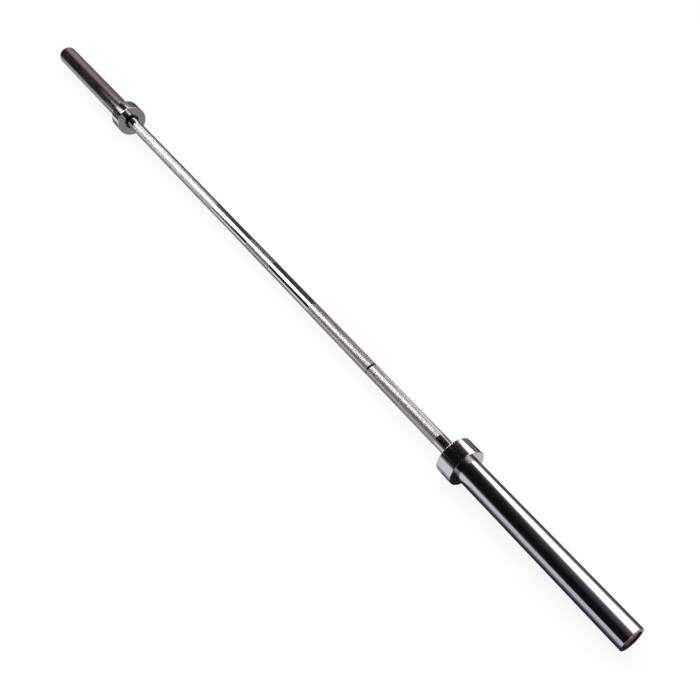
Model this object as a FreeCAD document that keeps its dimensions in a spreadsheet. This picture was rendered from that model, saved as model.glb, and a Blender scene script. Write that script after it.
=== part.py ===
import FreeCAD, Part
import os
import Sketcher

# Olympic barbell: one knurled steel shaft and two sleeves that turn on bronze bushings.
# Millimetres. +X runs along the bar, +Z is up, the origin is the middle of the bar on its axis.
# The pieces of a sleeve are drawn for the +X end. The -X end has the same pieces, turned half
# a turn about Z. Sizes build up from the shaft outwards, so that each layer sits on the last.

DIMENSIONS = {
    # Shaft between the collars
    "grip_span": 1340,
    "shaft_diameter": 28,
    "knurl_rise": 0.15,
    "knurl_run_out": 0.6,
    "centre_knurl_length": 98.5,
    "centre_gap_length": 159,
    "neck_length": 40.5,
    "ring_mark_spacing": 838,
    "ring_mark_width": 5,
    "ring_mark_depth": 0.3,
    "shaft_end_chamfer": 1.5,
    "shaft_tail_length": 4,
    # Sleeve tube and its collar
    "plate_seat_length": 391.5,
    "sleeve_wall": 6,
    "spigot_step": 1,
    "sleeve_edge_chamfer": 1.5,
    "sleeve_mouth_chamfer": 0.6,
    "bushing_stop_height": 2,
    "collar_width": 38.5,
    "collar_step": 14,
    "collar_lip": 6,
    "collar_edge_chamfer": 1.2,
    "collar_mouth_chamfer": 0.8,
    "collar_relief": 0.12,
    # Bushings
    "bushing_length": 40,
    "bushing_wall": 4.93,
    "bushing_chamfer": 0.5,
    "grease_groove_width": 4,
    "grease_groove_depth": 0.8,
    # Washers and snap rings on the shaft
    "washer_thickness": 2.5,
    "washer_bore_gap": 0.5,
    "snap_ring_setback": 6,
    "snap_ring_thickness": 2,
    "snap_ring_groove_depth": 0.7,
    "snap_ring_side_play": 0.1,
    "snap_ring_bore_gap": 1.2,
    "snap_ring_opening": 5,
    "snap_ring_band_share": 0.7,
    "lug_radius_share": 0.46,
    "lug_hole_share": 0.45,
    # End cap and its disc
    "cap_setback": 3.2,
    "cap_length": 10,
    "cap_wall": 2.5,
    "cap_face_thickness": 3,
    "cap_edge_chamfer": 0.4,
    "cap_to_shaft_gap": 4,
    "disc_rim": 2.3,
    "disc_thickness": 1.1,
    "disc_sink": 0.8,
    "disc_edge_chamfer": 0.3,
    # Fits
    "running_clearance": 0.05,
    "seat_clearance": 0.02,
    "end_play": 0.3,
}

doc = FreeCAD.newDocument("olympic_barbell")
sheet = doc.addObject("Spreadsheet::Sheet", "dims")
for row, (alias, value) in enumerate(DIMENSIONS.items(), start=1):
    sheet.set("A%d" % row, alias)
    sheet.set("B%d" % row, str(value))
    sheet.setAlias("B%d" % row, alias)
doc.recompute()

# Radii, as expressions on the sheet
SHAFT = "(dims.shaft_diameter / 2)"
KNURL = f"({SHAFT} + dims.knurl_rise)"
RING_MARK = f"({SHAFT} - dims.ring_mark_depth)"
GROOVE = f"({SHAFT} - dims.snap_ring_groove_depth)"
RUNNING_BORE = f"({SHAFT} + dims.running_clearance)"
BUSHING = f"({RUNNING_BORE} + dims.bushing_wall)"
BORE = f"({BUSHING} + dims.seat_clearance)"
WAIST = f"({BORE} - dims.bushing_stop_height)"
SLEEVE = f"({BORE} + dims.sleeve_wall)"
SPIGOT = f"({SLEEVE} - dims.spigot_step)"
COLLAR_SEAT = f"({SPIGOT} + dims.seat_clearance)"
COLLAR_RELIEF = f"({SLEEVE} + dims.collar_relief)"
COLLAR = f"({SLEEVE} + dims.collar_step)"
WASHER = f"({BORE} - dims.washer_bore_gap)"

# Places along +X, as expressions on the sheet
KNURL_OUTER = "(dims.grip_span / 2 - dims.neck_length)"
CENTRE_KNURL_END = "(dims.centre_knurl_length / 2)"
KNURL_INNER = f"({CENTRE_KNURL_END} + dims.centre_gap_length)"
RING_MARK_START = "((dims.ring_mark_spacing - dims.ring_mark_width) / 2)"
RING_MARK_END = "((dims.ring_mark_spacing + dims.ring_mark_width) / 2)"
COLLAR_FACE = "(dims.grip_span / 2)"
TUBE_START = f"({COLLAR_FACE} + dims.collar_lip)"
COLLAR_STOP = f"({COLLAR_FACE} + dims.collar_width)"
SLEEVE_END = f"({COLLAR_STOP} + dims.plate_seat_length)"
INNER_RING_START = f"({COLLAR_FACE} + dims.snap_ring_setback)"
INNER_WASHER_START = f"({INNER_RING_START} + dims.snap_ring_thickness)"
INNER_BUSHING_START = f"({INNER_WASHER_START} + dims.washer_thickness + dims.end_play)"
INNER_BUSHING_END = f"({INNER_BUSHING_START} + dims.bushing_length)"
CAP_FACE = f"({SLEEVE_END} - dims.cap_setback)"
CAP_BACK = f"({CAP_FACE} - dims.cap_length)"
SHAFT_END = f"({CAP_BACK} - dims.cap_to_shaft_gap)"
OUTER_RING_END = f"({SHAFT_END} - dims.shaft_tail_length)"
OUTER_RING_START = f"({OUTER_RING_END} - dims.snap_ring_thickness)"
OUTER_WASHER_START = f"({OUTER_RING_START} - dims.washer_thickness)"
OUTER_BUSHING_END = f"({OUTER_WASHER_START} - dims.end_play)"
OUTER_BUSHING_START = f"({OUTER_BUSHING_END} - dims.bushing_length)"

# The two ends of the bar: the name each piece starts with, and its turn about Z in degrees
ENDS = {"right": 0, "left": 180}
nodes = []


def new_body(label, turn=0):
    """A body that is written out as a node, turned about Z to its end of the bar."""
    body = doc.addObject("PartDesign::Body", label)
    body.Placement = FreeCAD.Placement(
        FreeCAD.Vector(), FreeCAD.Rotation(FreeCAD.Vector(0, 0, 1), turn)
    )
    nodes.append(body)
    return body


def origin_plane(body, role):
    """The body's own origin plane with that role."""
    return next(plane for plane in body.Origin.OriginFeatures if plane.Role == role)


def new_sketch(body, name, role):
    """An empty sketch on one of the body's origin planes."""
    sketch = body.newObject("Sketcher::SketchObject", name)
    sketch.AttachmentSupport = [(origin_plane(body, role), "")]
    sketch.MapMode = "FlatFace"
    return sketch


def bind(sketch, constraint, expression):
    """Add a dimension to the sketch and bind it to the sheet."""
    index = sketch.addConstraint(constraint)
    sketch.setExpression("Constraints[%d]" % index, expression)


def place_point(sketch, element, point, across, up):
    """Fix a point of the sketch at two expressions, an axis taking the place of a zero."""
    if across == "0":
        sketch.addConstraint(Sketcher.Constraint("PointOnObject", element, point, -2))
    else:
        value = sheet.evalExpression(across)
        bind(sketch, Sketcher.Constraint("DistanceX", -1, 1, element, point, value), across)
    if up == "0":
        sketch.addConstraint(Sketcher.Constraint("PointOnObject", element, point, -1))
    else:
        value = sheet.evalExpression(up)
        bind(sketch, Sketcher.Constraint("DistanceY", -1, 1, element, point, value), up)


def outline(sketch, corners):
    """Draw a closed outline through corners given as pairs of expressions."""
    places = [
        FreeCAD.Vector(float(sheet.evalExpression(across)), float(sheet.evalExpression(up)), 0)
        for across, up in corners
    ]
    for start, end in zip(places, places[1:] + places[:1]):
        sketch.addGeometry(Part.LineSegment(start, end), False)
    for line, (across, up) in enumerate(corners):
        following = (line + 1) % len(corners)
        sketch.addConstraint(Sketcher.Constraint("Coincident", line, 2, following, 1))
        place_point(sketch, line, 1, across, up)


def circle(sketch, radius):
    """Draw a circle about the bar's axis, with its radius bound to the sheet."""
    size = float(sheet.evalExpression(radius))
    ring = sketch.addGeometry(Part.Circle(FreeCAD.Vector(), FreeCAD.Vector(0, 0, 1), size), False)
    sketch.addConstraint(Sketcher.Constraint("Coincident", ring, 3, -1, 1))
    bind(sketch, Sketcher.Constraint("Radius", ring, size), radius)


def circle_pair(sketch, aside, up, radius):
    """Draw two equal circles, the same distance to either side of the upright axis."""
    size = float(sheet.evalExpression(radius))
    reach = float(sheet.evalExpression(aside))
    height = float(sheet.evalExpression(up))
    for way in (1, -1):
        centre = FreeCAD.Vector(way * reach, height, 0)
        ring = sketch.addGeometry(Part.Circle(centre, FreeCAD.Vector(0, 0, 1), size), False)
        ends = (-1, 1, ring, 3) if way > 0 else (ring, 3, -1, 1)
        bind(sketch, Sketcher.Constraint("DistanceX", *ends, reach), aside)
        bind(sketch, Sketcher.Constraint("DistanceY", -1, 1, ring, 3, height), up)
        bind(sketch, Sketcher.Constraint("Radius", ring, size), radius)


def slot(sketch, half_width, top):
    """Draw an upright slot from the axis to top, as wide on either side of it."""
    reach = float(sheet.evalExpression(half_width))
    height = float(sheet.evalExpression(top))
    corners = [(-reach, 0), (reach, 0), (reach, height), (-reach, height)]
    places = [FreeCAD.Vector(across, up, 0) for across, up in corners]
    for start, finish in zip(places, places[1:] + places[:1]):
        sketch.addGeometry(Part.LineSegment(start, finish), False)
    for line in range(len(places)):
        following = (line + 1) % len(places)
        sketch.addConstraint(Sketcher.Constraint("Coincident", line, 2, following, 1))
    for line in (1, 3):
        sketch.addConstraint(Sketcher.Constraint("Vertical", line))
    sketch.addConstraint(Sketcher.Constraint("Horizontal", 2))
    bind(sketch, Sketcher.Constraint("DistanceX", 0, 1, -1, 1, reach), half_width)
    bind(sketch, Sketcher.Constraint("DistanceX", -1, 1, 0, 2, reach), half_width)
    sketch.addConstraint(Sketcher.Constraint("PointOnObject", 0, 1, -1))
    sketch.addConstraint(Sketcher.Constraint("PointOnObject", 0, 2, -1))
    bind(sketch, Sketcher.Constraint("DistanceY", 1, 1, 1, 2, height), top)


def turned(body, corners):
    """A lathe-turned piece: (along, radius) corners revolved about the bar's axis."""
    sketch = new_sketch(body, body.Label + "_outline", "XZ_Plane")
    outline(sketch, corners)
    spin = body.newObject("PartDesign::Revolution", body.Label + "_turn")
    spin.Profile = sketch
    spin.ReferenceAxis = (sketch, ["H_Axis"])
    spin.Angle = 360
    return spin


def padded(body, sketch, thickness):
    """Pad a sketch along the bar by an expression."""
    pad = body.newObject("PartDesign::Pad", sketch.Label + "_pad")
    pad.Profile = sketch
    pad.setExpression("Length", thickness)
    return pad


def cut_through(body, sketch):
    """Cut a sketch through the whole piece, both ways along the bar."""
    cut = body.newObject("PartDesign::Pocket", sketch.Label + "_cut")
    cut.Profile = sketch
    cut.Type = "ThroughAll"
    cut.Midplane = True
    return cut


def make_shaft():
    """The bar itself: half of it turned, then mirrored about its middle."""
    body = new_body("shaft")
    run_out = "dims.knurl_run_out"
    play = "dims.snap_ring_side_play"
    tip = "dims.shaft_end_chamfer"
    half = turned(body, [
        ("0", "0"),
        ("0", KNURL),
        (CENTRE_KNURL_END, KNURL),
        (f"{CENTRE_KNURL_END} + {run_out}", SHAFT),
        (f"{KNURL_INNER} - {run_out}", SHAFT),
        (KNURL_INNER, KNURL),
        (RING_MARK_START, KNURL),
        (RING_MARK_START, RING_MARK),
        (RING_MARK_END, RING_MARK),
        (RING_MARK_END, KNURL),
        (KNURL_OUTER, KNURL),
        (f"{KNURL_OUTER} + {run_out}", SHAFT),
        (INNER_RING_START, SHAFT),
        (INNER_RING_START, GROOVE),
        (f"{INNER_WASHER_START} + {play}", GROOVE),
        (f"{INNER_WASHER_START} + {play}", SHAFT),
        (f"{OUTER_RING_START} - {play}", SHAFT),
        (f"{OUTER_RING_START} - {play}", GROOVE),
        (OUTER_RING_END, GROOVE),
        (OUTER_RING_END, SHAFT),
        (f"{SHAFT_END} - {tip}", SHAFT),
        (SHAFT_END, f"{SHAFT} - {tip}"),
        (SHAFT_END, "0"),
    ])
    doc.recompute()
    whole = body.newObject("PartDesign::Mirrored", "shaft_whole")
    whole.Originals = [half]
    whole.MirrorPlane = (origin_plane(body, "YZ_Plane"), [""])
    body.Tip = whole


def make_collar(end, turn):
    """The plate stop: a thick ring pressed on the tube's spigot up to its lip, relieved at the shoulder."""
    edge = "dims.collar_edge_chamfer"
    mouth = "dims.collar_mouth_chamfer"
    relief = f"({COLLAR_RELIEF} - {COLLAR_SEAT})"
    turned(new_body(end + "_collar", turn), [
        (f"{COLLAR_FACE} + {mouth}", BORE),
        (COLLAR_FACE, f"{BORE} + {mouth}"),
        (COLLAR_FACE, f"{COLLAR} - {edge}"),
        (f"{COLLAR_FACE} + {edge}", COLLAR),
        (f"{COLLAR_STOP} - {edge}", COLLAR),
        (COLLAR_STOP, f"{COLLAR} - {edge}"),
        (COLLAR_STOP, COLLAR_RELIEF),
        (f"{COLLAR_STOP} - {relief}", COLLAR_SEAT),
        (TUBE_START, COLLAR_SEAT),
        (TUBE_START, BORE),
    ])


def make_sleeve(end, turn):
    """The tube that carries the plates, turned down inside the collar and bored out at both ends."""
    edge = "dims.sleeve_edge_chamfer"
    mouth = "dims.sleeve_mouth_chamfer"
    turned(new_body(end + "_sleeve", turn), [
        (TUBE_START, BORE),
        (TUBE_START, SPIGOT),
        (COLLAR_STOP, SPIGOT),
        (COLLAR_STOP, SLEEVE),
        (f"{SLEEVE_END} - {edge}", SLEEVE),
        (SLEEVE_END, f"{SLEEVE} - {edge}"),
        (SLEEVE_END, f"{BORE} + {mouth}"),
        (f"{SLEEVE_END} - {mouth}", BORE),
        (OUTER_BUSHING_START, BORE),
        (OUTER_BUSHING_START, WAIST),
        (INNER_BUSHING_END, WAIST),
        (INNER_BUSHING_END, BORE),
    ])


def make_bushing(label, turn, start):
    """A bronze bushing from start along the shaft, with a grease groove inside its middle."""
    finish = f"({start} + dims.bushing_length)"
    edge = "dims.bushing_chamfer"
    groove = f"({RUNNING_BORE} + dims.grease_groove_depth)"
    groove_start = f"({start} + (dims.bushing_length - dims.grease_groove_width) / 2)"
    groove_end = f"({start} + (dims.bushing_length + dims.grease_groove_width) / 2)"
    turned(new_body(label, turn), [
        (start, RUNNING_BORE),
        (start, f"{BUSHING} - {edge}"),
        (f"{start} + {edge}", BUSHING),
        (f"{finish} - {edge}", BUSHING),
        (finish, f"{BUSHING} - {edge}"),
        (finish, RUNNING_BORE),
        (groove_end, RUNNING_BORE),
        (groove_end, groove),
        (groove_start, groove),
        (groove_start, RUNNING_BORE),
    ])


def make_washer(label, turn, start):
    """A thrust washer on the shaft, from start along it."""
    finish = f"({start} + dims.washer_thickness)"
    turned(new_body(label, turn), [
        (start, RUNNING_BORE),
        (start, WASHER),
        (finish, WASHER),
        (finish, RUNNING_BORE),
    ])


def make_snap_ring(label, turn, start):
    """An open spring ring with two drilled lugs, seated in its groove in the shaft."""
    body = new_body(label, turn)
    body.setExpression("Placement.Base.x", start if turn == 0 else f"-{start}")
    inside = f"({GROOVE} + dims.seat_clearance)"
    lug_top = f"({BORE} - dims.snap_ring_bore_gap)"
    height = f"({lug_top} - {inside})"
    band = f"({inside} + {height} * dims.snap_ring_band_share)"
    lug = f"({height} * dims.lug_radius_share)"
    lug_reach = f"({lug_top} - {lug})"
    aside = f"(dims.snap_ring_opening / 2 + {lug})"
    up = f"sqrt({lug_reach} * {lug_reach} - {aside} * {aside})"

    ring = new_sketch(body, label + "_band", "YZ_Plane")
    circle(ring, inside)
    circle(ring, band)
    padded(body, ring, "dims.snap_ring_thickness")

    lugs = new_sketch(body, label + "_lugs", "YZ_Plane")
    circle_pair(lugs, aside, up, lug)
    padded(body, lugs, "dims.snap_ring_thickness")

    opening = new_sketch(body, label + "_opening", "YZ_Plane")
    slot(opening, "dims.snap_ring_opening / 2", lug_top)
    cut_through(body, opening)

    holes = new_sketch(body, label + "_holes", "YZ_Plane")
    circle_pair(holes, aside, up, f"{lug} * dims.lug_hole_share")
    cut_through(body, holes)


def make_end_cap(end, turn):
    """The plug in the mouth of the sleeve: a cup with a shallow seat for its disc."""
    edge = "dims.cap_edge_chamfer"
    plug = BUSHING
    seat = f"({plug} - dims.disc_rim)"
    floor = f"({CAP_FACE} - dims.disc_sink)"
    back = f"({CAP_FACE} - dims.cap_face_thickness)"
    turned(new_body(end + "_end_cap", turn), [
        (back, "0"),
        (back, f"{plug} - dims.cap_wall"),
        (CAP_BACK, f"{plug} - dims.cap_wall"),
        (CAP_BACK, plug),
        (f"{CAP_FACE} - {edge}", plug),
        (CAP_FACE, f"{plug} - {edge}"),
        (CAP_FACE, seat),
        (floor, seat),
        (floor, "0"),
    ])
    disc = f"({seat} - dims.seat_clearance)"
    top = f"({floor} + dims.disc_thickness)"
    bevel = "dims.disc_edge_chamfer"
    turned(new_body(end + "_cap_disc", turn), [
        (floor, "0"),
        (floor, disc),
        (f"{top} - {bevel}", disc),
        (top, f"{disc} - {bevel}"),
        (top, "0"),
    ])


def write_nodes():
    """Check every object of the document, then write each node to its own file."""
    doc.recompute()
    for item in doc.Objects:
        if "Invalid" in item.State or "Error" in item.State:
            raise RuntimeError("%s failed to build: %s" % (item.Label, item.State))
    for node in nodes:
        if node.Shape.isNull() or not node.Shape.isValid():
            raise RuntimeError("%s has no valid shape" % node.Label)
        if len(node.Shape.Solids) != 1:
            raise RuntimeError("%s is %d solids" % (node.Label, len(node.Shape.Solids)))
    os.makedirs("parts", exist_ok=True)
    for node in nodes:
        node.Shape.exportStep("parts/%s.step" % node.Label)
        print("%-24s %12.1f mm3" % (node.Label, node.Shape.Volume))


make_shaft()
for end, turn in ENDS.items():
    make_collar(end, turn)
    make_sleeve(end, turn)
    make_bushing(end + "_inner_bushing", turn, INNER_BUSHING_START)
    make_bushing(end + "_outer_bushing", turn, OUTER_BUSHING_START)
    make_washer(end + "_inner_washer", turn, INNER_WASHER_START)
    make_washer(end + "_outer_washer", turn, OUTER_WASHER_START)
    make_snap_ring(end + "_inner_snap_ring", turn, INNER_RING_START)
    make_snap_ring(end + "_outer_snap_ring", turn, OUTER_RING_START)
    make_end_cap(end, turn)
write_nodes()
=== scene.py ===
"""Dresses the solids of an olympic barbell.

The shaft gets its knurling, the collars, sleeves and end caps get rounded edges, and every piece gets a
finish. A pale studio with soft boxes and dark flags stands around the bar. All lengths are in metres, in the
frame of the solids: +X along the bar, +Z up, the origin at the middle of the bar on its axis.
"""

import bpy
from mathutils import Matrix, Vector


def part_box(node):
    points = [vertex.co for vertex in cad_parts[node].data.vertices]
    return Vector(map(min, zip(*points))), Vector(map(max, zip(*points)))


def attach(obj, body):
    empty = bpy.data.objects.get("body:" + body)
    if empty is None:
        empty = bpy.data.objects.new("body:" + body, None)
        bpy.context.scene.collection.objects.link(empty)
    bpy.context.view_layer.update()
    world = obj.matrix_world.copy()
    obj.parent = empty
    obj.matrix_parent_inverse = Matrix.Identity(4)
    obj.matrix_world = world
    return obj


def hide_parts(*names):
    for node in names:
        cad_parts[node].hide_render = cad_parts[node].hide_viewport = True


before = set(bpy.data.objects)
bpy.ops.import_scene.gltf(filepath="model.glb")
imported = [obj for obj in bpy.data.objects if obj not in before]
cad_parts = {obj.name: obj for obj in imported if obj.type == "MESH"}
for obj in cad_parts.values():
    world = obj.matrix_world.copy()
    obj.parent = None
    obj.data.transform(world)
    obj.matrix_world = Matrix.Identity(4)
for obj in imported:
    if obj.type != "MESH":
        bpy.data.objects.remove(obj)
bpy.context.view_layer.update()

import logging
from dataclasses import dataclass
from enum import Enum
from functools import lru_cache

import bpy
import numpy as np
from mathutils import Vector
from numpy.typing import ArrayLike, NDArray

FloatArray = NDArray[np.float64]
IntArray = NDArray[np.int64]
Colour = tuple[float, float, float]
Point = tuple[float, float, float]
Pair = tuple[float, float]
Plan = tuple[Pair, Pair, Pair, Pair]
SocketValue = float | Colour | bpy.types.NodeSocket
Feeds = dict[str | int, SocketValue]

MILLIMETRE = 0.001
SENSOR_WIDTH = 36.0
GROOVE = "groove"
NO_TRIANGLES = np.empty((0, 3), dtype=int)

log = logging.getLogger("barbell")


class Side(Enum):
    """The two ends of the bar, by the way each one points along X."""

    RIGHT = 1
    LEFT = -1

    @property
    def word(self) -> str:
        """The word that the end's pieces are named with."""
        return self.name.lower()

    @property
    def body(self) -> str:
        """The moving body that the end's pieces ride on."""
        return self.word + "_sleeve_unit"


@dataclass(frozen=True)
class Extent:
    """How far a solid reaches along the bar from the middle, and its radius about the bar's axis."""

    near: float
    far: float
    radius: float

    @classmethod
    def of(cls, node: str) -> "Extent":
        """Measure a node of the frame.

        Args:
            node: The node's name.

        Returns:
            The node's extent, with distances along the bar counted outwards.
        """
        low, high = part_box(node)
        ends = sorted((abs(low.x), abs(high.x)))
        return cls(near=ends[0], far=ends[1], radius=high.z)


# Shapes


@dataclass(frozen=True)
class Surface:
    """The points and faces of one piece, before they become a mesh."""

    points: FloatArray
    quads: IntArray
    triangles: IntArray

    def turned_to(self, side: Side) -> "Surface":
        """Turn a piece drawn for the right end about Z to its own end.

        Args:
            side: The end that the piece belongs to.

        Returns:
            The same surface, with X and Y multiplied by the side's sign: half a turn for the left end.
        """
        turn = np.array([side.value, side.value, 1.0])
        return Surface(self.points * turn, self.quads, self.triangles)

    def to_object(self, name: str, smooth: bool = True) -> bpy.types.Object:
        """Make the mesh object and put it in the scene.

        Args:
            name: The object's name.
            smooth: Whether its faces are shaded smooth, or flat.

        Returns:
            The new object, at the origin.
        """
        mesh = bpy.data.meshes.new(name)
        mesh.from_pydata(self.points.tolist(), [], self.quads.tolist() + self.triangles.tolist())
        mesh.polygons.foreach_set("use_smooth", np.full(len(mesh.polygons), smooth))
        mesh.update()
        item = bpy.data.objects.new(name, mesh)
        bpy.context.scene.collection.objects.link(item)
        return item


def unit(vectors: FloatArray) -> FloatArray:
    """Scale each row to length one."""
    return vectors / np.linalg.norm(vectors, axis=-1, keepdims=True)


def rounded(corners: ArrayLike, radii: ArrayLike, closed: bool, steps: int = 7,
            hold: float = 0.2 * MILLIMETRE) -> FloatArray:
    """Round the corners of an outline.

    Each corner becomes an arc that touches both of its lines: with half the angle between the lines h and
    the radius r, the arc starts r / tan(h) from the corner and its centre is r / sin(h) away on the
    bisector. The arc's points go round the centre at even angles. One more point on each line, a little way
    from the arc, keeps the bend of the shading within the arc.

    Args:
        corners: (along, radius) pairs. They run so that the metal is on the right.
        radii: One radius for each rounded corner. On an open outline the two end points stay as they are.
        closed: Whether the last corner joins the first.
        steps: Points on each arc.
        hold: How far from each arc the extra points are.

    Returns:
        The points of the rounded outline, one row each.
    """
    given = np.asarray(corners, dtype=float)
    path = np.vstack([given[-1:], given, given[:1]]) if closed else given
    here = path[1:-1]
    back = unit(path[:-2] - here)
    ahead = unit(path[2:] - here)
    half = np.arccos(np.clip(np.sum(back * ahead, axis=1), -1.0, 1.0))[:, None] / 2
    radius = np.broadcast_to(np.asarray(radii, dtype=float), len(here))[:, None]
    reach = radius / np.tan(half)
    centre = here + unit(back + ahead) * radius / np.sin(half)
    first = here + back * reach - centre
    last = here + ahead * reach - centre
    sweep = (np.pi - 2 * half)[:, None, :]
    share = np.linspace(0.0, 1.0, steps)[None, :, None]
    from_first = np.sin((1 - share) * sweep) * first[:, None]
    from_last = np.sin(share * sweep) * last[:, None]
    spokes = (from_first + from_last) / np.sin(sweep)
    before = (here + back * (reach + hold))[:, None]
    after = (here + ahead * (reach + hold))[:, None]
    arcs = np.concatenate([before, centre[:, None] + spokes, after], axis=1).reshape(-1, 2)
    return arcs if closed else np.vstack([given[:1], arcs, given[-1:]])


def wheel(count: int) -> FloatArray:
    """Even angles round a full turn."""
    return np.arange(count) * 2 * np.pi / count


def strip_quads(first: IntArray, second: IntArray) -> IntArray:
    """Faces between rings of points, each with its corners in the order that faces outwards.

    Args:
        first: Point numbers of the first rings, one ring a row.
        second: Point numbers of the rings that follow them.

    Returns:
        A row for each face: its point on the first ring, the next point round that ring, and the same two on
        the second ring the other way round.
    """
    corners = [first, np.roll(first, -1, axis=1), np.roll(second, -1, axis=1), second]
    return np.stack(corners, axis=-1).reshape(-1, 4)


def lathe(outline: FloatArray, columns: int, closed: bool) -> Surface:
    """Turn an outline about the bar's axis.

    A point (along, radius) at the angle a goes to X = along, Y = radius cos a and Z = radius sin a. An open
    outline starts and ends on the axis, where a fan of triangles closes it round one point.

    Args:
        outline: (along, radius) rows, with the metal on the right of the way they run.
        columns: Points round the turn.
        closed: Whether the last row joins the first, as in a ring.

    Returns:
        The turned surface.
    """
    rings = outline if closed else outline[1:-1]
    angles = wheel(columns)
    along = np.repeat(rings[:, :1], columns, axis=1)
    across = rings[:, 1:] * np.cos(angles)
    up = rings[:, 1:] * np.sin(angles)
    points = np.stack([along, across, up], axis=-1).reshape(-1, 3)
    numbers = np.arange(len(points)).reshape(len(rings), columns)
    if closed:
        return Surface(points, strip_quads(numbers, np.roll(numbers, -1, axis=0)), NO_TRIANGLES)
    poles = [[outline[0, 0], 0.0, 0.0], [outline[-1, 0], 0.0, 0.0]]
    start = np.full(columns, len(points))
    end = start + 1
    head = np.stack([start, np.roll(numbers[0], -1), numbers[0]], axis=-1)
    tail = np.stack([numbers[-1], np.roll(numbers[-1], -1), end], axis=-1)
    quads = strip_quads(numbers[:-1], numbers[1:])
    return Surface(np.vstack([points, poles]), quads, np.vstack([head, tail]))


# Shader effects that several finishes share


@dataclass(frozen=True)
class NodeSheet:
    """Adds nodes to one node tree and links them."""

    tree: bpy.types.NodeTree

    def feed(self, socket: bpy.types.NodeSocket, value: SocketValue) -> None:
        """Link a socket to the value if it is a socket too, and otherwise set it.

        Args:
            socket: The input socket.
            value: Another node's output, or a plain value.
        """
        if isinstance(value, bpy.types.NodeSocket):
            self.tree.links.new(value, socket)
        else:
            socket.default_value = value

    def add(self, kind: str, inputs: Feeds | None = None, **settings: object) -> bpy.types.Node:
        """Add a node.

        Args:
            kind: Blender's name of the node's type.
            inputs: What each input socket, by name or number, is fed with.
            settings: The node's own properties.

        Returns:
            The new node.
        """
        node = self.tree.nodes.new(kind)
        for name, value in settings.items():
            setattr(node, name, value)
        for key, value in (inputs or {}).items():
            self.feed(node.inputs[key], value)
        return node

    def math(self, operation: str, *operands: SocketValue) -> bpy.types.NodeSocket:
        """One step of arithmetic on single values."""
        return self.add("ShaderNodeMath", dict(enumerate(operands)), operation=operation).outputs[0]

    def span(self, value: SocketValue, start: SocketValue, end: SocketValue, low: SocketValue,
             high: SocketValue) -> bpy.types.NodeSocket:
        """Carry a value from the span start to end over to the span low to high, clamped."""
        feeds = {"Value": value, "From Min": start, "From Max": end, "To Min": low, "To Max": high}
        return self.add("ShaderNodeMapRange", feeds).outputs["Result"]

    def noise(self, position: SocketValue, scale: SocketValue, detail: float = 3.0) -> bpy.types.NodeSocket:
        """Smooth noise about 0.5 in three dimensions."""
        feeds = {"Vector": position, "Scale": scale, "Detail": detail}
        return self.add("ShaderNodeTexNoise", feeds).outputs[0]

    def blend(self, share: SocketValue, first: SocketValue, second: SocketValue) -> bpy.types.NodeSocket:
        """Mix two colours.

        Args:
            share: How much of the second colour there is.
            first: The first colour.
            second: The second colour.

        Returns:
            The mixed colour.
        """
        node = self.add("ShaderNodeMix", data_type="RGBA")
        self.feed(node.inputs["Factor"], share)
        colours = [socket for socket in node.inputs if socket.type == "RGBA"]
        for socket, colour in zip(colours, (first, second)):
            self.feed(socket, colour if isinstance(colour, bpy.types.NodeSocket) else (*colour, 1.0))
        return next(socket for socket in node.outputs if socket.type == "RGBA")

    def bump(self, height: SocketValue, distance: float, strength: float = 1.0) -> bpy.types.NodeSocket:
        """A normal tilted by a height of up to that distance."""
        feeds = {"Height": height, "Distance": distance, "Strength": strength}
        return self.add("ShaderNodeBump", feeds).outputs["Normal"]

    def effect(self, group: bpy.types.NodeTree, inputs: Feeds) -> bpy.types.Node:
        """Place a shared effect and feed its inputs.

        Args:
            group: The effect's node group.
            inputs: What each of its input sockets is fed with.

        Returns:
            The node that holds the effect.
        """
        node = self.add("ShaderNodeGroup", node_tree=group)
        for key, value in inputs.items():
            self.feed(node.inputs[key], value)
        return node


def blank_sheet(owner: bpy.types.Material | bpy.types.World) -> NodeSheet:
    """Turn on the nodes of a material or a world and clear them away.

    Args:
        owner: The material or the world.

    Returns:
        Its empty sheet.
    """
    owner.use_nodes = True
    owner.node_tree.nodes.clear()
    return NodeSheet(owner.node_tree)


GroupSheet = tuple[NodeSheet, bpy.types.Node, bpy.types.Node]


def new_group(name: str, inputs: dict[str, str], outputs: dict[str, str]) -> GroupSheet:
    """Start a shader node group.

    Args:
        name: The group's name.
        inputs: The kind of each input socket by its name.
        outputs: The kind of each output socket by its name.

    Returns:
        The group's sheet, its input node and its output node.
    """
    group = bpy.data.node_groups.new(name, "ShaderNodeTree")
    for in_out, sockets in (("INPUT", inputs), ("OUTPUT", outputs)):
        for label, kind in sockets.items():
            group.interface.new_socket(label, in_out=in_out, socket_type="NodeSocket" + kind)
    sheet = NodeSheet(group)
    return sheet, sheet.add("NodeGroupInput"), sheet.add("NodeGroupOutput")


@lru_cache(maxsize=None)
def axis_distance() -> bpy.types.NodeTree:
    """The group that splits a place on a turned piece into its way along the bar and its radius.

    Returns:
        The group: Radius is the root of Y squared plus Z squared, and Along is X without its sign.
    """
    outputs = {"Radius": "Float", "Along": "Float"}
    sheet, start, end = new_group("axis_distance", {"Position": "Vector"}, outputs)
    parts = sheet.add("ShaderNodeSeparateXYZ", {0: start.outputs["Position"]}).outputs
    squares = [sheet.math("MULTIPLY", parts[axis], parts[axis]) for axis in ("Y", "Z")]
    sheet.feed(end.inputs["Radius"], sheet.math("SQRT", sheet.math("ADD", *squares)))
    sheet.feed(end.inputs["Along"], sheet.math("ABSOLUTE", parts["X"]))
    return sheet.tree


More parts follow.
